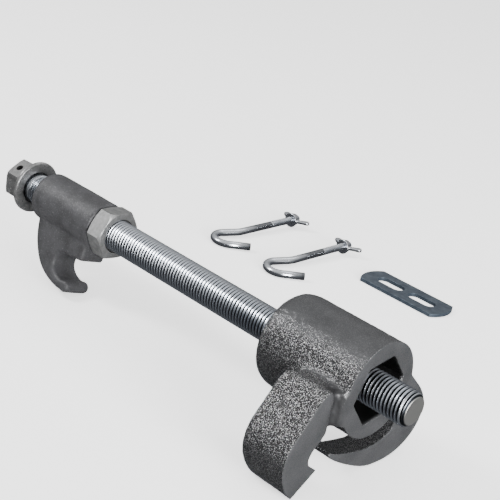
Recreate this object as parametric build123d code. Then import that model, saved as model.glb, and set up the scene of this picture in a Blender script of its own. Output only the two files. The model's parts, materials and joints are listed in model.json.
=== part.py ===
from build123d import *
import math
import os

# One coil spring compressor and its loose safety hardware, in millimetres, +Z up.
# While it is modelled, the screw lies along +X with its axis through Y = 0, Z = 0, and
# X = 0 is the front face of the retaining nut. Before export everything is moved, so that
# the origin is the centre of the footprint, on the floor that the tool lies on.

# Forcing screw: a metric thread, shown at its major diameter
THREAD_R = 11.0
THREAD_CHAMFER = 2.4
SCREW_END_X = 254.0
NECK_R = 8.0
RUN_CLEARANCE = 0.05
LOOSE_CLEARANCE = 0.8
FLOOR_Z = -53.5

# Hexagonal drive head, fixed to the screw's neck by a roll pin
HEAD_AF = 27.0
HEAD_BACK_X = -110.5
HEAD_FRONT_X = -95.2
HEAD_CHAMFER = 0.9
HEAD_TURN = 33.0
PIN_X = -104.8
PIN_R = 2.5
PIN_WALL = 0.9
PIN_LENGTH = 21.0
PIN_SLOT = 0.8

# Thrust washer, which the head pushes along
WASHER_R = 19.0
WASHER_BACK_X = -95.0
WASHER_FRONT_X = -91.8
WASHER_CHAMFER = 1.0

# Upper hook: a sleeve on the screw with one C-shaped foot below it
SLEEVE_R = 17.8
SLEEVE_BACK_X = -76.0
SLEEVE_FRONT_X = -14.0
SLEEVE_ROUND = 2.5
HOOK_THICK = 23.0
HOOK_ROUND = 2.5
HOOK_SWIVEL = -13.0
HOOK_ROOT_Z = -10.0
HOOK_BACK = [(-69.5, -12.0), (-67.0, -23.0), (-62.5, -33.0), (-53.0, -43.8), (-40.5, -50.1), (-27.0, -52.15)]
HOOK_TIP = (-20.0, -48.5)
HOOK_THROAT = [(-27.0, -44.5), (-35.5, -42.5), (-40.5, -37.3), (-40.0, -31.5), (-34.0, -27.8)]
HOOK_HEEL = (-16.0, -26.5)

# Retaining nut, which holds the sleeve on the screw
NUT_AF = 32.0
NUT_BACK_X = -13.3
NUT_CHAMFER = 1.6
NUT_TURN = 58.0
NUT_COUNTERSINK = 1.2

# Lower jaw: a barrel around the screw, with a leg on one side and a curled arm on the other.
# Outlines are (Y, Z) points on the jaw's flat front face.
JAW_FRONT_X = 229.0
BARREL_LENGTH = 74.0
BARREL_R = 31.0
BARREL_ROUND = 9.0
LEG_DEPTH = 34.0
LEG_ROUND = 4.0
ARM_DEPTH = 18.0
ARM_ROUND = 2.5
LEG_ROOT = [(-25.0, -17.0), (-18.0, -12.0)]
LEG_OUTER = [
    (-24.0, 7.5), (-31.5, 5.5), (-38.5, 7.2), (-47.0, 10.5), (-56.0, 3.5), (-64.5, -8.0),
    (-71.5, -18.5), (-73.5, -30.0), (-70.0, -41.5), (-60.0, FLOOR_Z),
]
LEG_LIP = (-42.0, -39.5)
LEG_THROAT = [(-50.0, -34.5), (-51.0, -28.0), (-48.0, -23.5), (-42.0, -19.0), (-33.5, -16.5)]
ARM_ROOT = (24.0, 8.0)
ARM_OUTER = [
    (31.0, 3.0), (42.0, -6.5), (51.0, -17.0), (54.0, -29.0), (48.5, -42.0),
    (36.0, -50.5), (20.0, FLOOR_Z), (4.0, -52.0), (-10.5, -46.8), (-22.0, -41.5), (-35.0, -33.8),
]
ARM_INNER = [(-33.5, -31.0), (-21.0, -35.2), (-10.0, -37.2), (0.7, -38.6), (14.0, -37.0), (24.0, -31.5), (24.0, -24.0)]
GROOVE_R = 5.0
GROOVE_DEPTH = 2.5
GROOVE_Y = -36.5
GROOVE_TOP_Z = 20.0

# Drive nut, loose in the barrel's deep hexagonal pocket, up against its shoulder
POCKET_AF = 38.0
POCKET_DEPTH = 45.0
POCKET_TURN = 11.0
DRIVE_NUT_AF = 37.0
DRIVE_NUT_THICK = 20.0

# Safety plate with two slots
PLATE_LENGTH = 80.0
PLATE_WIDTH = 32.0
PLATE_THICK = 3.0
PLATE_END_BULGE = 5.0
SLOT_LENGTH = 25.0
SLOT_WIDTH = 12.0
SLOT_SPACING = 31.0
PLATE_CENTRE = (80.0, 245.0)

# Two J-hooks, each bent from one rod, with a wing nut on the threaded end
ROD_R = 3.0
SHANK_LENGTH = 70.0
SET_BEND = 20.0
SET_RADIUS = 22.0
SET_LENGTH = 12.0
EYE_RADIUS = 12.0
EYE_BEND = 160.0
TAIL_LENGTH = 17.0
HOOK_END_Y = 268.0
HOOK_XS = [-60.0, 0.0]
WING_BASE_R = 6.5
WING_TOP_R = 4.6
WING_HEIGHT = 7.0
WING_SPAN = 28.0
WING_THICK = 2.6
WING_FROM_END = 10.0


def along_x(radius, x_from, x_to):
    """A cylinder on the screw's axis between two X values."""
    cylinder = Cylinder(radius, x_to - x_from, align=(Align.CENTER, Align.CENTER, Align.MIN))
    return Plane.YZ.offset(x_from) * cylinder


def rims(shape):
    """The circular edges of a turned shape, from the -X end to the +X end."""
    return shape.edges().filter_by(GeomType.CIRCLE).sort_by(Axis.X)


def hexagon(across_flats, x_from, x_to, turn):
    """A hexagonal prism on the screw's axis, with a corner `turn` degrees up from +Y."""
    outline = Rot(0, 0, turn) * RegularPolygon(across_flats / math.sqrt(3), 6)
    return extrude(Plane.YZ.offset(x_from) * outline, amount=x_to - x_from)


def hex_nut(across_flats, x_from, x_to, turn, corner):
    """A hexagon whose corners are turned down to a shallow cone at both ends."""
    blank = along_x(across_flats / math.sqrt(3) + RUN_CLEARANCE, x_from, x_to)
    cone = chamfer(rims(blank), corner, corner * 1.7)
    return hexagon(across_flats, x_from, x_to, turn) & cone


def pin_direction():
    """The place of the roll pin: across the head, square to two of its flats."""
    return Pos(PIN_X, 0, 0) * Rot(HEAD_TURN, 0, 0)


def pin_hole():
    return pin_direction() * Cylinder(PIN_R, 2 * HEAD_AF)


def forcing_screw():
    shank = along_x(THREAD_R, HEAD_FRONT_X, SCREW_END_X)
    shank = chamfer(rims(shank)[-1], THREAD_CHAMFER)
    neck = along_x(NECK_R, HEAD_BACK_X + HEAD_CHAMFER, HEAD_FRONT_X)
    return shank + neck - pin_hole()


def hex_drive_head():
    head = hex_nut(HEAD_AF, HEAD_BACK_X, HEAD_FRONT_X, HEAD_TURN, HEAD_CHAMFER)
    return head - along_x(NECK_R, HEAD_BACK_X, HEAD_FRONT_X) - pin_hole()


def roll_pin():
    """A spring pin: a short tube with a slot along it."""
    tube = Cylinder(PIN_R, PIN_LENGTH) - Cylinder(PIN_R - PIN_WALL, PIN_LENGTH)
    slot = Pos(PIN_R, 0, 0) * Box(2 * PIN_R, PIN_SLOT, PIN_LENGTH)
    return pin_direction() * (tube - slot)


def thrust_washer():
    disc = along_x(WASHER_R, WASHER_BACK_X, WASHER_FRONT_X)
    disc = chamfer(rims(disc), WASHER_CHAMFER)
    return disc - along_x(THREAD_R + LOOSE_CLEARANCE, WASHER_BACK_X, WASHER_FRONT_X)


def upper_hook():
    """A sleeve with a flat foot that curls forwards into a C, turned about the screw."""
    sleeve = fillet(rims(along_x(SLEEVE_R, SLEEVE_BACK_X, SLEEVE_FRONT_X)), SLEEVE_ROUND)
    back = Spline(HOOK_BACK)
    tip = ThreePointArc(HOOK_BACK[-1], HOOK_TIP, HOOK_THROAT[0])
    throat = Spline(HOOK_THROAT)
    rest = Polyline(
        HOOK_THROAT[-1], HOOK_HEEL, (HOOK_HEEL[0], HOOK_ROOT_Z), (HOOK_BACK[0][0], HOOK_ROOT_Z), HOOK_BACK[0]
    )
    outline = make_face(back + tip + throat + rest)
    foot = extrude(Plane.XZ * outline, amount=HOOK_THICK / 2, both=True)
    sides = foot.faces().sort_by(Axis.Y)
    curved = [edge for side in (sides[0], sides[-1]) for edge in side.edges() if edge.center().Z < HOOK_ROOT_Z]
    foot = fillet(curved, HOOK_ROUND)
    bore = along_x(THREAD_R + LOOSE_CLEARANCE, SLEEVE_BACK_X, SLEEVE_FRONT_X)
    return Rot(HOOK_SWIVEL, 0, 0) * (sleeve + foot - bore)


def retaining_nut():
    nut = hex_nut(NUT_AF, NUT_BACK_X, 0, NUT_TURN, NUT_CHAMFER)
    blank = along_x(THREAD_R + NUT_COUNTERSINK, -2 * NUT_COUNTERSINK, 0)
    countersink = chamfer(rims(blank)[0], NUT_COUNTERSINK)
    return nut - along_x(THREAD_R, NUT_BACK_X, 0) - countersink


def leg_profile():
    foot = Polyline(LEG_OUTER[-1], LEG_LIP, LEG_THROAT[0])
    root = Polyline(LEG_THROAT[-1], *LEG_ROOT, LEG_OUTER[0])
    return make_face(Spline(LEG_OUTER) + foot + Spline(LEG_THROAT) + root)


def arm_profile():
    tip = Line(ARM_OUTER[-1], ARM_INNER[0])
    root = Polyline(ARM_INNER[-1], ARM_ROOT, ARM_OUTER[0])
    return make_face(Spline(ARM_OUTER) + tip + Spline(ARM_INNER) + root)


def jaw_limb(profile, depth, back_round):
    """A limb of the jaw, extruded back from its front face, its long back edge rounded."""
    limb = extrude(Plane.YZ.offset(JAW_FRONT_X) * profile, amount=-depth)
    back = limb.faces().sort_by(Axis.X)[0]
    return fillet(back.edges().sort_by(SortBy.LENGTH)[-1], back_round)


def lower_jaw():
    back_x = JAW_FRONT_X - BARREL_LENGTH
    barrel = along_x(BARREL_R, back_x, JAW_FRONT_X)
    barrel = fillet(rims(barrel)[0], BARREL_ROUND)
    jaw = barrel + jaw_limb(leg_profile(), LEG_DEPTH, LEG_ROUND) + jaw_limb(arm_profile(), ARM_DEPTH, ARM_ROUND)
    groove = Cylinder(GROOVE_R, GROOVE_TOP_Z * 2)
    pocket_x = JAW_FRONT_X - POCKET_DEPTH
    pocket = hexagon(POCKET_AF, pocket_x, JAW_FRONT_X, POCKET_TURN)
    bore = along_x(THREAD_R + LOOSE_CLEARANCE, back_x, pocket_x)
    return jaw - Pos(JAW_FRONT_X - GROOVE_DEPTH + GROOVE_R, GROOVE_Y, 0) * groove - pocket - bore


def drive_nut():
    shoulder_x = JAW_FRONT_X - POCKET_DEPTH
    front_x = shoulder_x + DRIVE_NUT_THICK
    nut = hex_nut(DRIVE_NUT_AF, shoulder_x, front_x, POCKET_TURN, NUT_CHAMFER)
    return nut - along_x(THREAD_R + RUN_CLEARANCE, shoulder_x, front_x)


def safety_plate():
    """A flat plate whose two ends bulge out, with two slots in a line along it."""
    x = PLATE_LENGTH / 2 - PLATE_END_BULGE
    y = PLATE_WIDTH / 2
    left_end = ThreePointArc((-x, -y), (-PLATE_LENGTH / 2, 0), (-x, y))
    right_end = ThreePointArc((x, y), (PLATE_LENGTH / 2, 0), (x, -y))
    outline = make_face(left_end + Line((-x, y), (x, y)) + right_end + Line((x, -y), (-x, -y)))
    slots = GridLocations(SLOT_SPACING, 0, 2, 1) * SlotOverall(SLOT_LENGTH, SLOT_WIDTH)
    plate = extrude(outline - slots, amount=PLATE_THICK)
    return Pos(*PLATE_CENTRE, FLOOR_Z) * plate


def rod_path():
    """The rod's centre line, drawn from the threaded end at the origin towards -Y."""
    shank = Line((0, 0), (0, -SHANK_LENGTH))
    set_bend = JernArc(shank @ 1, shank % 1, SET_RADIUS, -SET_BEND)
    straight = Line(set_bend @ 1, set_bend @ 1 + (set_bend % 1) * SET_LENGTH)
    eye = JernArc(straight @ 1, straight % 1, EYE_RADIUS, EYE_BEND)
    tail = Line(eye @ 1, eye @ 1 + (eye % 1) * TAIL_LENGTH)
    return Wire(shank.edges() + set_bend.edges() + straight.edges() + eye.edges() + tail.edges())


def rod_place(x):
    """Where a J-hook lies: its eye on the floor, its other end lifted by the wing nut."""
    eye_y = rod_path().bounding_box().min.Y
    tilt = math.degrees(math.asin((WING_BASE_R - ROD_R) / (-eye_y - WING_FROM_END)))
    return Pos(x, HOOK_END_Y + eye_y, FLOOR_Z + ROD_R) * Rot(tilt, 0, 0) * Pos(0, -eye_y, 0)


def j_hook(x):
    section = Plane.XZ * Circle(ROD_R)
    return rod_place(x) * sweep(section, path=rod_path())


def wing_nut(x):
    """A coned nut with two wings in a plane, its wings pointing past the rod's end."""
    cone = Cone(WING_BASE_R, WING_TOP_R, WING_HEIGHT, align=(Align.CENTER, Align.CENTER, Align.MIN))
    tip = WING_SPAN / 2
    outline = make_face(
        Polyline((0, 1), (WING_BASE_R - 1, 1), (tip - 2, WING_HEIGHT * 0.8))
        + ThreePointArc((tip - 2, WING_HEIGHT * 0.8), (tip, WING_HEIGHT * 1.35), (tip - 4, WING_HEIGHT * 1.6))
        + Polyline((tip - 4, WING_HEIGHT * 1.6), (WING_TOP_R + 1, WING_HEIGHT - 1), (0, WING_HEIGHT - 1), (0, 1))
    )
    wing = extrude(Plane.XZ * outline, amount=WING_THICK / 2, both=True)
    nut = cone + wing + Rot(0, 0, 180) * wing
    nut -= Cylinder(ROD_R + RUN_CLEARANCE, 4 * WING_HEIGHT)
    return rod_place(x) * Pos(0, -WING_FROM_END, 0) * Rot(-90, 0, 0) * nut


def build_all():
    pieces = {
        "forcing_screw": forcing_screw(),
        "hex_drive_head": hex_drive_head(),
        "roll_pin": roll_pin(),
        "thrust_washer": thrust_washer(),
        "upper_hook": upper_hook(),
        "retaining_nut": retaining_nut(),
        "lower_jaw": lower_jaw(),
        "drive_nut": drive_nut(),
        "safety_plate": safety_plate(),
    }
    for number, x in enumerate(HOOK_XS, start=1):
        pieces[f"j_hook_{number}"] = j_hook(x)
        pieces[f"wing_nut_{number}"] = wing_nut(x)
    return pieces


def to_floor_frame(pieces):
    """Moves every piece, so that the origin is at the bottom centre of them all."""
    boxes = [shape.bounding_box() for shape in pieces.values()]
    middle_x = (min(box.min.X for box in boxes) + max(box.max.X for box in boxes)) / 2
    middle_y = (min(box.min.Y for box in boxes) + max(box.max.Y for box in boxes)) / 2
    floor_z = min(box.min.Z for box in boxes)
    shift = Pos(-middle_x, -middle_y, -floor_z)
    return {name: shift * shape for name, shape in pieces.items()}


os.makedirs("parts", exist_ok=True)
for name, shape in to_floor_frame(build_all()).items():
    export_step(shape, f"parts/{name}.step")
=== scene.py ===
import json
import math

import bmesh
import bpy
import numpy as np
from mathutils import Matrix, Quaternion, Vector, noise


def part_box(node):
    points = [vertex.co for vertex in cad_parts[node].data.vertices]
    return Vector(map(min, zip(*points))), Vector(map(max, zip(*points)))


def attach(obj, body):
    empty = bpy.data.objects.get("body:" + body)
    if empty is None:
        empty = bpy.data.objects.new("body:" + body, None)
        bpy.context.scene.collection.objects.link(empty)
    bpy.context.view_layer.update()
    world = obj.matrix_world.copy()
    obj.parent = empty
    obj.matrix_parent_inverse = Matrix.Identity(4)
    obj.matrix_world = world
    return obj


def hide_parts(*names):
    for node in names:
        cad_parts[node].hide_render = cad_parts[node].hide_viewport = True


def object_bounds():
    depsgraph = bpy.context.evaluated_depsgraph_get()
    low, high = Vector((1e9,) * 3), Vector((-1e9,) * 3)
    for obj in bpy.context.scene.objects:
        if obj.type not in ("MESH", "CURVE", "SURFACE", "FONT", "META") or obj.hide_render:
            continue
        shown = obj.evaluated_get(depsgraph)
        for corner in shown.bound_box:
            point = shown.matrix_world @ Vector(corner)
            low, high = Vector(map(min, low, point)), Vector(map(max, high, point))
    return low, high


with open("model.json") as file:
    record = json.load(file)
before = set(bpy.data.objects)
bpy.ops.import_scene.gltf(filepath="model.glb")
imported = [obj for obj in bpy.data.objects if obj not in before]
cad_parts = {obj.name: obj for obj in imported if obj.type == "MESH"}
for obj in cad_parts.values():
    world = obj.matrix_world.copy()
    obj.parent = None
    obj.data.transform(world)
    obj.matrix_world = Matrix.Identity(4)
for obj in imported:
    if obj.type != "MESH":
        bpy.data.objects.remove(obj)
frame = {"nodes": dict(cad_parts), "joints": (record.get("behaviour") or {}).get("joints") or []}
cad_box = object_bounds()

MM = 0.001

# Camera: its direction from the tool and its roll in degrees, its distance and aim in metres, and
# its lens and sensor in millimetres
AZIMUTH = 39.4
ELEVATION = 21.3
ROLL = 12.14
DISTANCE = 0.87
AIM_FROM_AXIS = Vector((0.03833, 0.09288, -0.00818))
LENS = 87.64
SENSOR = 36

# Both threads: the depth against the pitch, and where within one pitch the crest ends and the
# root starts and ends
THREAD_DEPTH = 0.6134
CREST_END = 0.13
ROOT_START = 0.44
ROOT_END = 0.68

# The screw, M22 x 2.5
SCREW_PITCH = 2.5 * MM
SCREW_STEPS = 60
END_CHAMFER = 2.4 * MM
NECK_R = 8 * MM
PLAIN_AFTER_WASHER = 3 * MM
PLAIN_BELOW_CREST = 0.45 * MM

# The straight end of a J-hook, M6 x 1
ROD_PITCH = 1.0 * MM
ROD_STEPS = 28
ROD_THREAD_LENGTH = 36 * MM
ROD_R = 3 * MM
ROD_CHAMFER = 0.7 * MM
ROD_CHAMFER_SLOPE = 1.2

# How close points are welded, and the angles between faces that are taken as flat, as an edge to
# bevel and as an edge to shade sharp
WELD = 0.002 * MM
FLAT = math.radians(0.6)
EDGE = math.radians(25)
CRISP = math.radians(35)

# Grids on which the castings and the wing nuts are rebuilt
JAW_GRID = 0.75 * MM
HOOK_GRID = 0.6 * MM
WING_GRID = 0.32 * MM

# Radii within which a bore's or the pocket's shape is kept, and the outside of the barrel
POCKET_R = 23.5 * MM
SLEEVE_BORE_R = 13 * MM
WING_BORE_R = 3.6 * MM
BARREL_R = 32 * MM

# The valley between the jaw's leg and its barrel: how far it is from the screw's axis, towards
# -Y, how far it reaches to each side, up and down and back, and how much it is sunk in front
GROOVE_Y = 36.5 * MM
GROOVE_HALF_WIDTH = 5.5 * MM
GROOVE_HALF_HEIGHT = 24 * MM
GROOVE_LENGTH = 12 * MM
GROOVE_DIP = 2.5 * MM

JOINTS = {joint["name"]: joint for joint in frame["joints"]}
SCREW_AXIS = Vector(JOINTS["screw_spin"]["pos_m"])


# ---------------------------------------------------------------- meshes

def make_object(name, mesh, body, material, replaced=()):
    """A new piece that rides on a body, takes a material and may stand for CAD nodes."""
    piece = bpy.data.objects.new(name, mesh)
    bpy.context.scene.collection.objects.link(piece)
    mesh.materials.clear()
    mesh.materials.append(material)
    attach(piece, body)
    if replaced:
        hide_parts(*replaced)


def mesh_from(name, vertices, faces):
    mesh = bpy.data.meshes.new(name)
    mesh.from_pydata([tuple(v) for v in vertices], [], faces)
    mesh.validate()
    return mesh


def node_copy(node):
    """A CAD node's mesh as a new, welded bmesh."""
    bm = bmesh.new()
    bm.from_mesh(frame["nodes"][node].data)
    bmesh.ops.remove_doubles(bm, verts=bm.verts, dist=WELD)
    return bm


def evaluated(mesh, set_up):
    """The mesh after the modifiers that set_up adds to an object that holds it."""
    holder = bpy.data.objects.new("holder", mesh)
    bpy.context.scene.collection.objects.link(holder)
    set_up(holder)
    depsgraph = bpy.context.evaluated_depsgraph_get()
    result = bpy.data.meshes.new_from_object(holder.evaluated_get(depsgraph))
    bpy.data.objects.remove(holder)
    return result


def positions(mesh):
    co = np.empty(len(mesh.vertices) * 3)
    mesh.vertices.foreach_get("co", co)
    return co.reshape(-1, 3)


def normals(mesh):
    values = np.empty(len(mesh.vertices) * 3, np.float32)
    mesh.vertices.foreach_get("normal", values)
    return values.reshape(-1, 3).astype(float)


def shade_smooth(mesh):
    mesh.polygons.foreach_set("use_smooth", np.ones(len(mesh.polygons), bool))


def remeshed(node, voxel):
    """A CAD node's shape as an even grid of small faces."""
    bm = node_copy(node)
    mesh = bpy.data.meshes.new(node + "_grid")
    bm.to_mesh(mesh)
    bm.free()

    def set_up(holder):
        remesh = holder.modifiers.new("grid", "REMESH")
        remesh.mode = "VOXEL"
        remesh.voxel_size = voxel

    return evaluated(mesh, set_up)


def relax(mesh, passes, weight):
    """Rounds edges and fills corners: each point moves towards the mean of its neighbours."""
    edges = np.empty(len(mesh.edges) * 2, np.int64)
    mesh.edges.foreach_get("vertices", edges)
    a, b = edges.reshape(-1, 2).T
    count = len(mesh.vertices)
    degree = np.bincount(a, minlength=count) + np.bincount(b, minlength=count)
    co = positions(mesh)
    for _ in range(passes):
        mean = np.empty_like(co)
        for k in range(3):
            mean[:, k] = np.bincount(a, co[b, k], count) + np.bincount(b, co[a, k], count)
        co += 0.5 * weight[:, None] * (mean / degree[:, None] - co)
    mesh.vertices.foreach_set("co", co.ravel())
    mesh.update()


def press_in(mesh, depth):
    """Moves each point inwards along its normal by its own depth."""
    co = positions(mesh) - normals(mesh) * depth[:, None]
    mesh.vertices.foreach_set("co", co.ravel())
    mesh.update()


def grain(points, size, seed):
    """Smooth noise from 0 to 1 with bumps of about that size."""
    shift = Vector((seed, 2.3 * seed, 5.1 * seed))
    return np.array([0.5 + 0.5 * noise.noise(Vector(p) / size + shift) for p in points])


def bevelled(node, width):
    """A CAD node's shape with its sharp edges broken by a narrow rounded bevel."""
    bm = node_copy(node)
    bmesh.ops.dissolve_limit(bm, angle_limit=FLAT, verts=bm.verts, edges=bm.edges)
    mesh = bpy.data.meshes.new(node + "_edges")
    bm.to_mesh(mesh)
    bm.free()
    shade_smooth(mesh)

    def set_up(holder):
        bevel = holder.modifiers.new("edges", "BEVEL")
        bevel.width = width
        bevel.segments = 2
        bevel.limit_method = "ANGLE"
        bevel.angle_limit = EDGE
        bevel.use_clamp_overlap = True
        holder.modifiers.new("normals", "WEIGHTED_NORMAL")

    return evaluated(mesh, set_up)


def thread_mesh(name, length, radius_at, pitch, steps):
    """A right-hand thread along +X as one helical strip, closed at both ends.

    radius_at(x, u) gives the radius at a place along it, u being the place within one pitch."""
    section = (0.0, 0.06, CREST_END, 0.22, 0.35, ROOT_START, 0.56, ROOT_END, 0.78, 0.92)
    turns = math.ceil(length / pitch) + 2
    vertices = []
    for step in range((turns + 1) * steps):
        angle = 2 * math.pi * step / steps
        for u in section:
            x = min(max(pitch * (step / steps - 1.5 + u), 0.0), length)
            r = radius_at(x, u)
            vertices.append((x, r * math.cos(angle), r * math.sin(angle)))
    count = len(section)
    faces = []
    for step in range(turns * steps - 1):
        for k in range(count):
            here = step * count + k
            ahead = here + count
            if k + 1 < count:
                faces.append((here, here + 1, ahead + 1, ahead))
            else:
                wrap = (step + steps) * count
                faces.append((here, wrap, wrap + count, ahead))
    bm = bmesh.new()
    for vertex in vertices:
        bm.verts.new(vertex)
    bm.verts.ensure_lookup_table()
    for face in faces:
        bm.faces.new([bm.verts[i] for i in face])
    bmesh.ops.remove_doubles(bm, verts=bm.verts, dist=pitch * 0.001)
    bmesh.ops.dissolve_degenerate(bm, edges=bm.edges, dist=pitch * 0.001)
    loose = [v for v in bm.verts if not v.link_faces]
    bmesh.ops.delete(bm, geom=loose, context="VERTS")
    rim = [edge for edge in bm.edges if edge.is_boundary]
    bmesh.ops.contextual_create(bm, geom=rim)
    bmesh.ops.holes_fill(bm, edges=[edge for edge in bm.edges if edge.is_boundary])
    bmesh.ops.recalc_face_normals(bm, faces=bm.faces)
    mesh = bpy.data.meshes.new(name)
    bm.to_mesh(mesh)
    bm.free()
    return mesh


def thread_profile(u):
    """How deep the thread is cut at a place within one pitch: 0 at the crest, 1 at the root."""
    if u <= CREST_END:
        return 0.0
    if u < ROOT_START:
        return (u - CREST_END) / (ROOT_START - CREST_END)
    if u <= ROOT_END:
        return 1.0
    return max(0.0, 1.0 - (u - ROOT_END) / (1.0 - ROOT_END))


# ---------------------------------------------------------------- materials

def new_material(name):
    """A new material, with its nodes, its links and its main shader."""
    material = bpy.data.materials.new(name)
    material.use_nodes = True
    tree = material.node_tree
    return material, tree.nodes, tree.links, tree.nodes["Principled BSDF"]


def noise_node(nodes, links, size, detail=3.0, roughness=0.55):
    """A noise texture in the object's own space, with features of about that size."""
    place = nodes.new("ShaderNodeTexCoord")
    texture = nodes.new("ShaderNodeTexNoise")
    texture.inputs["Scale"].default_value = 1 / size
    texture.inputs["Detail"].default_value = detail
    texture.inputs["Roughness"].default_value = roughness
    links.new(place.outputs["Object"], texture.inputs["Vector"])
    return texture.outputs["Fac"]


def spread(nodes, links, source, low, high, out_low, out_high):
    """Maps a value from one range to another, held at the ends."""
    node = nodes.new("ShaderNodeMapRange")
    node.inputs["From Min"].default_value = low
    node.inputs["From Max"].default_value = high
    node.inputs["To Min"].default_value = out_low
    node.inputs["To Max"].default_value = out_high
    links.new(source, node.inputs["Value"])
    return node.outputs["Result"]


def mix_colour(nodes, links, factor, first, second):
    """Mixes two colours, of which the first may be another node's output."""
    node = nodes.new("ShaderNodeMix")
    node.data_type = "RGBA"
    factor_in, first_in, second_in = node.inputs[0], node.inputs[6], node.inputs[7]
    links.new(factor, factor_in)
    if isinstance(first, tuple):
        first_in.default_value = (*first, 1)
    else:
        links.new(first, first_in)
    second_in.default_value = (*second, 1)
    return node.outputs[2]


def bump_chain(nodes, links, shader, layers):
    """Bumps from (height, strength, distance) layers, each on top of the one before."""
    last = None
    for height, strength, distance in layers:
        bump = nodes.new("ShaderNodeBump")
        bump.inputs["Strength"].default_value = strength
        bump.inputs["Distance"].default_value = distance
        links.new(height, bump.inputs["Height"])
        if last:
            links.new(last, bump.inputs["Normal"])
        last = bump.outputs["Normal"]
    links.new(last, shader.inputs["Normal"])


def combined(nodes, links, operation, first, second):
    """Joins two values by a maths operation."""
    node = nodes.new("ShaderNodeMath")
    node.operation = operation
    links.new(first, node.inputs[0])
    links.new(second, node.inputs[1])
    return node.outputs["Value"]


def multiply(nodes, links, first, second):
    return combined(nodes, links, "MULTIPLY", first, second)


def split_coordinate(nodes, links, kind):
    """X, Y and Z of one kind of texture coordinate, such as Object or Normal."""
    coordinate = nodes.new("ShaderNodeTexCoord")
    split = nodes.new("ShaderNodeSeparateXYZ")
    links.new(coordinate.outputs[kind], split.inputs["Vector"])
    return split.outputs["X"], split.outputs["Y"], split.outputs["Z"]


def from_axis(nodes, links):
    """The distance from the screw's axis, and the place along X, in the object's own space."""
    x, y, z = split_coordinate(nodes, links, "Object")
    across = nodes.new("ShaderNodeCombineXYZ")
    links.new(y, across.inputs["Y"])
    links.new(z, across.inputs["Z"])
    distance = nodes.new("ShaderNodeVectorMath")
    distance.operation = "DISTANCE"
    links.new(across.outputs["Vector"], distance.inputs[0])
    distance.inputs[1].default_value = (0, SCREW_AXIS.y, SCREW_AXIS.z)
    return distance.outputs["Value"], x


def front_valley(nodes, links):
    """1 in the front end of the valley between the jaw's leg and its barrel, and 0 elsewhere."""
    x, y, z = split_coordinate(nodes, links, "Object")
    middle = SCREW_AXIS.y - GROOVE_Y
    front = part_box("lower_jaw")[1].x
    rising = spread(nodes, links, y, middle - 8 * MM, middle - 4 * MM, 0.0, 1.0)
    falling = spread(nodes, links, y, middle + 4 * MM, middle + 8 * MM, 1.0, 0.0)
    near_front = spread(nodes, links, x, front - 18 * MM, front - 8 * MM, 0.0, 1.0)
    above_arm = spread(nodes, links, z, SCREW_AXIS.z - 24 * MM, SCREW_AXIS.z - 20 * MM, 0.0, 1.0)
    between = multiply(nodes, links, rising, falling)
    return multiply(nodes, links, between, multiply(nodes, links, near_front, above_arm))


def rough_sides(nodes, links, radius, valley):
    """How rough the cast skin is, and how many bright flecks it shows, from 0 to 1.

    It is smooth on top of the barrel, on flat faces towards +X and in the valley. Its bright flecks are
    partly wear and partly painted glints; as painted shade, they are fewer underneath and on the arm, which
    lie in shade."""
    y = split_coordinate(nodes, links, "Object")[1]
    facing_x, _, facing_z = split_coordinate(nodes, links, "Normal")
    leg_edge = SCREW_AXIS.y - GROOVE_Y
    front = spread(nodes, links, facing_x, 0.6, 0.9, 1.0, 0.0)
    top = spread(nodes, links, facing_z, 0.5, 0.8, 1.0, 0.05)
    # Painted shade: fewer bright flecks where the skin faces down, away from the light
    upper = spread(nodes, links, facing_z, -0.1, 0.4, 0.12, 1.0)
    limbs = spread(nodes, links, radius, BARREL_R, BARREL_R + 3 * MM, 0.0, 1.0)
    barrel = spread(nodes, links, radius, BARREL_R, BARREL_R + 3 * MM, 1.0, 0.0)
    # Painted shade: fewer bright flecks on the arm, which lies in shade
    leg = spread(nodes, links, y, leg_edge - 2 * MM, leg_edge + 12 * MM, 1.0, 0.25)
    outside = spread(nodes, links, valley, 0.0, 1.0, 1.0, 0.0)
    skin = multiply(nodes, links, front, combined(nodes, links, "MAXIMUM", top, limbs))
    sides = multiply(nodes, links, skin, outside)
    lit_and_exposed = multiply(nodes, links, upper, combined(nodes, links, "MAXIMUM", leg, barrel))
    return sides, multiply(nodes, links, sides, lit_and_exposed)


def in_pocket(nodes, links, radius, along):
    """1 in the jaw's bore and pocket, away from both of its end faces, and 0 elsewhere."""
    low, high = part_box("lower_jaw")
    near = spread(nodes, links, radius, 22.5 * MM, 24 * MM, 1.0, 0.0)
    under_mouth = spread(nodes, links, along, high.x - 2.5 * MM, high.x - 0.8 * MM, 1.0, 0.0)
    past_back = spread(nodes, links, along, low.x + 4 * MM, low.x + 6 * MM, 0.0, 1.0)
    return multiply(nodes, links, near, multiply(nodes, links, under_mouth, past_back))


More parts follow.
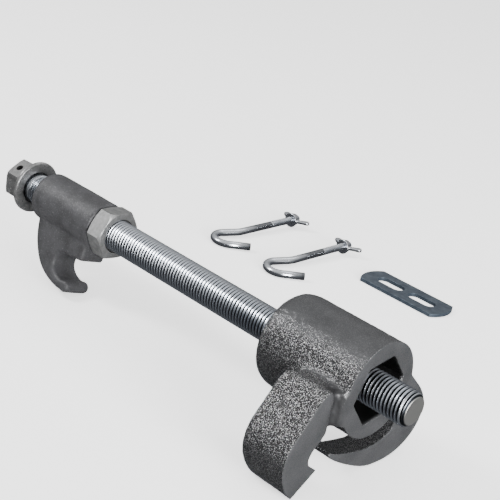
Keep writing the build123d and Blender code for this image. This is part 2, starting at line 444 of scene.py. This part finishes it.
def jaw_material():
    """Dark grey paint over coarse sand-cast skin, with bright flecks on its grains that are partly wear and
    partly painted glints, painted shade in the grain hollows and the valley, and painted shade, near black,
    in the pocket.
    """
    # Painted shade, darkening the front of the valley between leg and barrel
    valley_shade = (0.012, 0.012, 0.013)
    # Painted shade in the hollows between the grains
    hollow_shade = (0.008, 0.008, 0.009)
    # Bright bare iron on the grains: partly wear, partly painted glints where the key light falls
    bare_iron_and_glint = (0.85, 0.85, 0.86)
    # Painted shade, near black, inside the bore and pocket
    pocket_shade = (0.004, 0.004, 0.004)
    material, nodes, links, shader = new_material("jaw_paint")
    cloud = noise_node(nodes, links, 14 * MM)
    grains = noise_node(nodes, links, 0.55 * MM, detail=1.0, roughness=0.5)
    skin = noise_node(nodes, links, 0.5 * MM, detail=2.0)
    radius, along = from_axis(nodes, links)
    valley = front_valley(nodes, links)
    sides, wear_and_glint = rough_sides(nodes, links, radius, valley)
    tint = spread(nodes, links, cloud, 0.3, 0.7, 0.0, 1.0)
    clean = mix_colour(nodes, links, tint, (0.042, 0.043, 0.045), (0.062, 0.063, 0.066))
    # Painted shade: the paint darkens towards near black in the front of the valley
    paint = mix_colour(nodes, links, spread(nodes, links, valley, 0.0, 1.0, 0.0, 0.75), clean, valley_shade)
    # Painted shade: the hollows between the grains are darkened towards near black
    hollow = multiply(nodes, links, spread(nodes, links, grains, 0.46, 0.55, 1.0, 0.0), sides)
    hollows_shaded = mix_colour(nodes, links, hollow, paint, hollow_shade)
    # Bright flecks on the grain tops: partly wear, partly painted glints, thinned out where the skin lies
    # in shade
    worn_and_glinting = multiply(nodes, links, spread(nodes, links, grains, 0.585, 0.66, 0.0, 1.0), wear_and_glint)
    flecked = mix_colour(nodes, links, worn_and_glinting, hollows_shaded, bare_iron_and_glint)
    # Painted shade: the bore and pocket are painted near black
    inside = in_pocket(nodes, links, radius, along)
    links.new(mix_colour(nodes, links, inside, flecked, pocket_shade), shader.inputs["Base Color"])
    links.new(spread(nodes, links, grains, 0.4, 0.6, 0.58, 0.28), shader.inputs["Roughness"])
    links.new(spread(nodes, links, worn_and_glinting, 0.0, 1.0, 0.45, 0.92), shader.inputs["Metallic"])
    grain_height = multiply(nodes, links, grains, sides)
    layers = [(cloud, 0.25, 0.5 * MM), (grain_height, 1.0, 0.5 * MM), (skin, 0.35, 0.06 * MM)]
    bump_chain(nodes, links, shader, layers)
    return material


def hook_material():
    """Matt grey paint over a finer cast skin."""
    material, nodes, links, shader = new_material("hook_paint")
    cloud = noise_node(nodes, links, 9 * MM)
    grains = noise_node(nodes, links, 1.0 * MM, detail=3.0, roughness=0.6)
    tint = spread(nodes, links, cloud, 0.3, 0.7, 0.0, 1.0)
    paint = mix_colour(nodes, links, tint, (0.03, 0.03, 0.032), (0.052, 0.052, 0.056))
    worn_and_glinting = spread(nodes, links, grains, 0.58, 0.72, 0.0, 0.4)
    links.new(mix_colour(nodes, links, worn_and_glinting, paint, (0.17, 0.17, 0.175)), shader.inputs["Base Color"])
    links.new(spread(nodes, links, grains, 0.3, 0.7, 0.62, 0.48), shader.inputs["Roughness"])
    shader.inputs["Metallic"].default_value = 0.25
    bump_chain(nodes, links, shader, [(cloud, 0.45, 0.8 * MM), (grains, 0.85, 0.18 * MM)])
    return material


def screw_material():
    """Bright zinc plate with painted shade, near black, in the thread roots, and a satin neck and end face.
    """
    material, nodes, links, shader = new_material("zinc_screw")
    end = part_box("forcing_screw")[1].x
    head_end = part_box("hex_drive_head")[1].x
    radius, along = from_axis(nodes, links)
    height = spread(nodes, links, radius, 9.8 * MM, 10.6 * MM, 0.0, 1.0)
    # Painted shade: the thread roots are near black, the crests bright zinc
    metal = mix_colour(nodes, links, height, (0.012, 0.014, 0.017), (0.8, 0.84, 0.9))
    face = spread(nodes, links, along, end - 0.5 * MM, end - 0.2 * MM, 0.0, 1.0)
    neck = spread(nodes, links, along, head_end - 1 * MM, head_end, 1.0, 0.0)
    satin = combined(nodes, links, "MAXIMUM", face, neck)
    links.new(mix_colour(nodes, links, satin, metal, (0.3, 0.3, 0.29)), shader.inputs["Base Color"])
    links.new(spread(nodes, links, height, 0.0, 1.0, 0.5, 0.22), shader.inputs["Roughness"])
    shader.inputs["Metallic"].default_value = 1.0
    mottle = noise_node(nodes, links, 2 * MM)
    bump_chain(nodes, links, shader, [(mottle, 0.12, 0.1 * MM)])
    return material


def plated_material(name, dark, light, rough_low, rough_high, patch, metallic=1.0, bump=0.15):
    """Metal plate or oxide with a patchy tint and roughness."""
    material, nodes, links, shader = new_material(name)
    patches = noise_node(nodes, links, patch)
    fine = noise_node(nodes, links, 0.5 * MM, detail=2.0)
    factor = spread(nodes, links, patches, 0.3, 0.7, 0.0, 1.0)
    links.new(mix_colour(nodes, links, factor, dark, light), shader.inputs["Base Color"])
    links.new(spread(nodes, links, patches, 0.3, 0.7, rough_high, rough_low), shader.inputs["Roughness"])
    shader.inputs["Metallic"].default_value = metallic
    bump_chain(nodes, links, shader, [(patches, bump, 0.2 * MM), (fine, bump, 0.05 * MM)])
    return material


JAW_PAINT = jaw_material()
HOOK_PAINT = hook_material()
ZINC_SCREW = screw_material()
ZINC = plated_material(
    "satin_zinc", (0.15, 0.152, 0.152), (0.25, 0.252, 0.252), 0.3, 0.44, 3 * MM, metallic=0.7
)
DULL_ZINC = plated_material(
    "dull_zinc", (0.14, 0.14, 0.14), (0.3, 0.3, 0.3), 0.24, 0.4, 4 * MM, metallic=0.82, bump=0.25
)
BRIGHT = plated_material(
    "bright_zinc", (0.5, 0.52, 0.55), (0.66, 0.68, 0.72), 0.18, 0.28, 6 * MM, bump=0.05
)
BLACK_STEEL = plated_material("spring_steel", (0.03, 0.03, 0.03), (0.06, 0.06, 0.06), 0.3, 0.5, 2 * MM)
OXIDE = plated_material(
    "blue_oxide", (0.035, 0.048, 0.065), (0.075, 0.095, 0.12), 0.35, 0.5, 7 * MM, metallic=0.6
)


# ---------------------------------------------------------------- pieces

def sink_valley(mesh, front_x, rims):
    """Sinks the front end of the valley between leg and barrel, and rounds its rims."""
    co = positions(mesh)
    across = (co[:, 1] - SCREW_AXIS.y + GROOVE_Y) / GROOVE_HALF_WIDTH
    upwards = (co[:, 2] - SCREW_AXIS.z) / GROOVE_HALF_HEIGHT
    behind = (front_x - co[:, 0]) / GROOVE_LENGTH
    dip = np.clip(1 - across**2, 0, 1) * np.clip(1 - upwards**2, 0, 1) * np.clip(1 - behind, 0, 1)
    co[:, 0] -= GROOVE_DIP * dip
    mesh.vertices.foreach_set("co", co.ravel())
    relax(mesh, 10, np.where(rims & (np.abs(across) < 1.4), 0.8, 0.0))


def jaw_piece():
    """The lower jaw's casting: soft edges outside, crisper at its flat front face and pocket."""
    mesh = remeshed("lower_jaw", JAW_GRID)
    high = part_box("lower_jaw")[1]
    co = positions(mesh)
    radius = np.hypot(co[:, 1] - SCREW_AXIS.y, co[:, 2] - SCREW_AXIS.z)
    front = co[:, 0] > high.x - 1.5 * MM
    inside = radius < POCKET_R
    beside = np.abs(co[:, 1] - SCREW_AXIS.y + GROOVE_Y) < 8 * MM
    level = np.abs(co[:, 2] - SCREW_AXIS.z) < 22 * MM
    valley = beside & level & ~inside
    soft = np.where(front | inside, 0.05, 1.0)
    soft[front & valley] = 0.4
    relax(mesh, 60, soft)
    relax(mesh, 160, np.where(valley & (co[:, 0] < high.x - 8 * MM), 1.0, 0.0))
    sink_valley(mesh, high.x, front & level)
    co = positions(mesh)
    flat = co[:, 0] > high.x - 0.5 * MM
    rough = np.where(flat | inside, 0.15, 1.0)
    depth = 0.35 * MM * grain(co, 12 * MM, 1.0) + 0.35 * MM * grain(co, 2.0 * MM, 2.0)
    press_in(mesh, depth * rough)
    shade_smooth(mesh)
    make_object("jaw_casting", mesh, "lower_jaw", JAW_PAINT, ["lower_jaw"])


def hook_piece():
    """The upper hook's casting, smoother than the jaw's."""
    mesh = remeshed("upper_hook", HOOK_GRID)
    low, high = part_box("upper_hook")
    co = positions(mesh)
    radius = np.hypot(co[:, 1] - SCREW_AXIS.y, co[:, 2] - SCREW_AXIS.z)
    ends = (co[:, 0] > high.x - 1 * MM) | (co[:, 0] < low.x + 1 * MM)
    inside = radius < SLEEVE_BORE_R
    relax(mesh, 16, np.where(ends | inside, 0.2, 1.0))
    co = positions(mesh)
    depth = 0.3 * MM * grain(co, 10 * MM, 3.0) + 0.1 * MM * grain(co, 2.0 * MM, 4.0)
    press_in(mesh, depth * np.where(inside, 0.1, 1.0))
    shade_smooth(mesh)
    make_object("hook_casting", mesh, "upper_hook", HOOK_PAINT, ["upper_hook"])


def screw_piece():
    """The forcing screw with its real thread, a smooth neck and a chamfered end."""
    low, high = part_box("forcing_screw")
    length = high.x - low.x
    head_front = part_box("hex_drive_head")[1].x - low.x
    smooth_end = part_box("thrust_washer")[1].x - low.x + PLAIN_AFTER_WASHER
    radius = (high.y - low.y) / 2

    def radius_at(x, u):
        if x < head_front:
            return NECK_R
        run_out = min(max((x - smooth_end) / SCREW_PITCH, 0.0), 1.0)
        blank = radius - PLAIN_BELOW_CREST * (1 - run_out)
        cut = THREAD_DEPTH * SCREW_PITCH * thread_profile(u) * run_out
        end_cone = radius - END_CHAMFER + (length - x)
        return min(blank - cut, end_cone)

    mesh = thread_mesh("screw_thread", length, radius_at, SCREW_PITCH, SCREW_STEPS)
    mesh.transform(Matrix.Translation((low.x, SCREW_AXIS.y, SCREW_AXIS.z)))
    shade_smooth(mesh)
    mesh.set_sharp_from_angle(angle=CRISP)
    make_object("screw_thread", mesh, "forcing_screw", ZINC_SCREW, ["forcing_screw"])


def fitting(node, name, body, material, width):
    """A turned or forged fitting with its edges broken."""
    make_object(name, bevelled(node, width), body, material, [node])


def j_hook_pieces(number):
    """A J-hook: its bent rod from the CAD solid, and a real thread on its straight end."""
    node = f"j_hook_{number}"
    joint = JOINTS[f"wing_nut_{number}_spin"]
    base = Vector(joint["pos_m"])
    along = Vector(joint["axis"]).normalized()
    end = max((v.co - base).dot(along) for v in frame["nodes"][node].data.vertices)
    cut = base + along * (end - ROD_THREAD_LENGTH)
    bm = node_copy(node)
    result = bmesh.ops.bisect_plane(
        bm, geom=bm.verts[:] + bm.edges[:] + bm.faces[:], plane_co=cut, plane_no=along, clear_outer=True
    )
    rim = [item for item in result["geom_cut"] if isinstance(item, bmesh.types.BMEdge)]
    bmesh.ops.contextual_create(bm, geom=rim)
    mesh = bpy.data.meshes.new(node + "_rod")
    bm.to_mesh(mesh)
    bm.free()
    shade_smooth(mesh)
    make_object(node + "_rod", mesh, node, BRIGHT, [node])

    def radius_at(x, u):
        fade = min(max((x - 0.5 * MM) / ROD_PITCH, 0.0), 1.0)
        end_cone = ROD_R - ROD_CHAMFER + (ROD_THREAD_LENGTH - x) * ROD_CHAMFER_SLOPE
        return min(ROD_R - THREAD_DEPTH * ROD_PITCH * thread_profile(u) * fade, end_cone)

    thread = thread_mesh(node + "_thread", ROD_THREAD_LENGTH, radius_at, ROD_PITCH, ROD_STEPS)
    turn = Vector((1, 0, 0)).rotation_difference(along)
    thread.transform(Matrix.Translation(cut) @ turn.to_matrix().to_4x4())
    shade_smooth(thread)
    thread.set_sharp_from_angle(angle=CRISP)
    make_object(node + "_thread", thread, node, BRIGHT)


def wing_nut_piece(number):
    """A wing nut with the soft edges of a forging."""
    node = f"wing_nut_{number}"
    mesh = remeshed(node, WING_GRID)
    co = positions(mesh)
    joint = JOINTS[node + "_spin"]
    offset = co - np.array(joint["pos_m"])
    along = np.array(joint["axis"])
    radius = np.linalg.norm(offset - np.outer(offset @ along, along), axis=1)
    relax(mesh, 14, np.where(radius < WING_BORE_R, 0.1, 1.0))
    shade_smooth(mesh)
    make_object(node + "_forging", mesh, node, BRIGHT, [node])


jaw_piece()
hook_piece()
screw_piece()
fitting("hex_drive_head", "drive_head", "forcing_screw", DULL_ZINC, 0.3 * MM)
fitting("retaining_nut", "sleeve_nut", "forcing_screw", ZINC, 0.3 * MM)
fitting("thrust_washer", "washer", "thrust_washer", DULL_ZINC, 0.25 * MM)
fitting("drive_nut", "pocket_nut", "lower_jaw", ZINC, 0.3 * MM)
fitting("safety_plate", "slotted_plate", "safety_plate", OXIDE, 0.3 * MM)
fitting("roll_pin", "spring_pin", "forcing_screw", BLACK_STEEL, 0.1 * MM)
for number in (1, 2):
    j_hook_pieces(number)
    wing_nut_piece(number)


# ---------------------------------------------------------------- camera, floor and light

def make_camera():
    """The camera, aimed at a place beside the screw and rolled about its own line of sight."""
    aim = SCREW_AXIS + AIM_FROM_AXIS
    a = math.radians(AZIMUTH)
    e = math.radians(ELEVATION)
    back = Vector((math.sin(a) * math.cos(e), -math.cos(a) * math.cos(e), math.sin(e)))
    data = bpy.data.cameras.new("camera")
    data.lens = LENS
    data.sensor_width = SENSOR
    camera = bpy.data.objects.new("camera", data)
    camera.location = aim + back * DISTANCE
    camera.rotation_mode = "QUATERNION"
    level = (-back).to_track_quat("-Z", "Y")
    camera.rotation_quaternion = level @ Quaternion((0, 0, 1), math.radians(ROLL))
    bpy.context.scene.collection.objects.link(camera)
    bpy.context.scene.camera = camera


def make_floor():
    """A plain pale floor, left out of reflections so that the undersides of the metal stay dark."""
    half = 6.0
    corners = [(-half, -half, 0), (half, -half, 0), (half, half, 0), (-half, half, 0)]
    mesh = mesh_from("floor", corners, [(0, 1, 2, 3)])
    material, _, _, shader = new_material("floor")
    shader.inputs["Base Color"].default_value = (0.9, 0.9, 0.9, 1)
    shader.inputs["Roughness"].default_value = 0.7
    shader.inputs["Emission Color"].default_value = (1, 1, 1, 1)
    shader.inputs["Emission Strength"].default_value = 1.3
    mesh.materials.append(material)
    floor = bpy.data.objects.new("floor", mesh)
    floor.location.z = cad_box[0].z
    floor.visible_glossy = False
    bpy.context.scene.collection.objects.link(floor)


def make_light(name, direction, distance, size, power):
    """A square soft box, aimed at the tool from a direction."""
    data = bpy.data.lights.new(name, "AREA")
    data.shape = "SQUARE"
    data.size = size
    data.energy = power
    light = bpy.data.objects.new(name, data)
    towards = Vector(direction).normalized()
    light.location = (cad_box[0] + cad_box[1]) / 2 + towards * distance
    light.rotation_mode = "QUATERNION"
    light.rotation_quaternion = (-towards).to_track_quat("-Z", "Y")
    bpy.context.scene.collection.objects.link(light)


def make_world():
    """A studio sky, dark up to the horizon and rising to white overhead."""
    world = bpy.data.worlds.new("studio")
    world.use_nodes = True
    nodes = world.node_tree.nodes
    links = world.node_tree.links
    background = nodes["Background"]
    up = split_coordinate(nodes, links, "Generated")[2]
    height = spread(nodes, links, up, 0.0, 0.75, 0.0, 1.0)
    sky = mix_colour(nodes, links, height, (0.09, 0.093, 0.1), (1.0, 1.0, 1.0))
    links.new(sky, background.inputs["Color"])
    background.inputs["Strength"].default_value = 1.0
    bpy.context.scene.world = world


make_camera()
make_floor()
make_light("key", (-0.58, -0.52, 0.62), 1.5, 0.4, 17)
make_light("top", (0.1, 0.5, 1.0), 1.8, 1.2, 6)
make_light("front", (0.95, -0.25, 0.15), 1.6, 0.9, 75)
make_world()
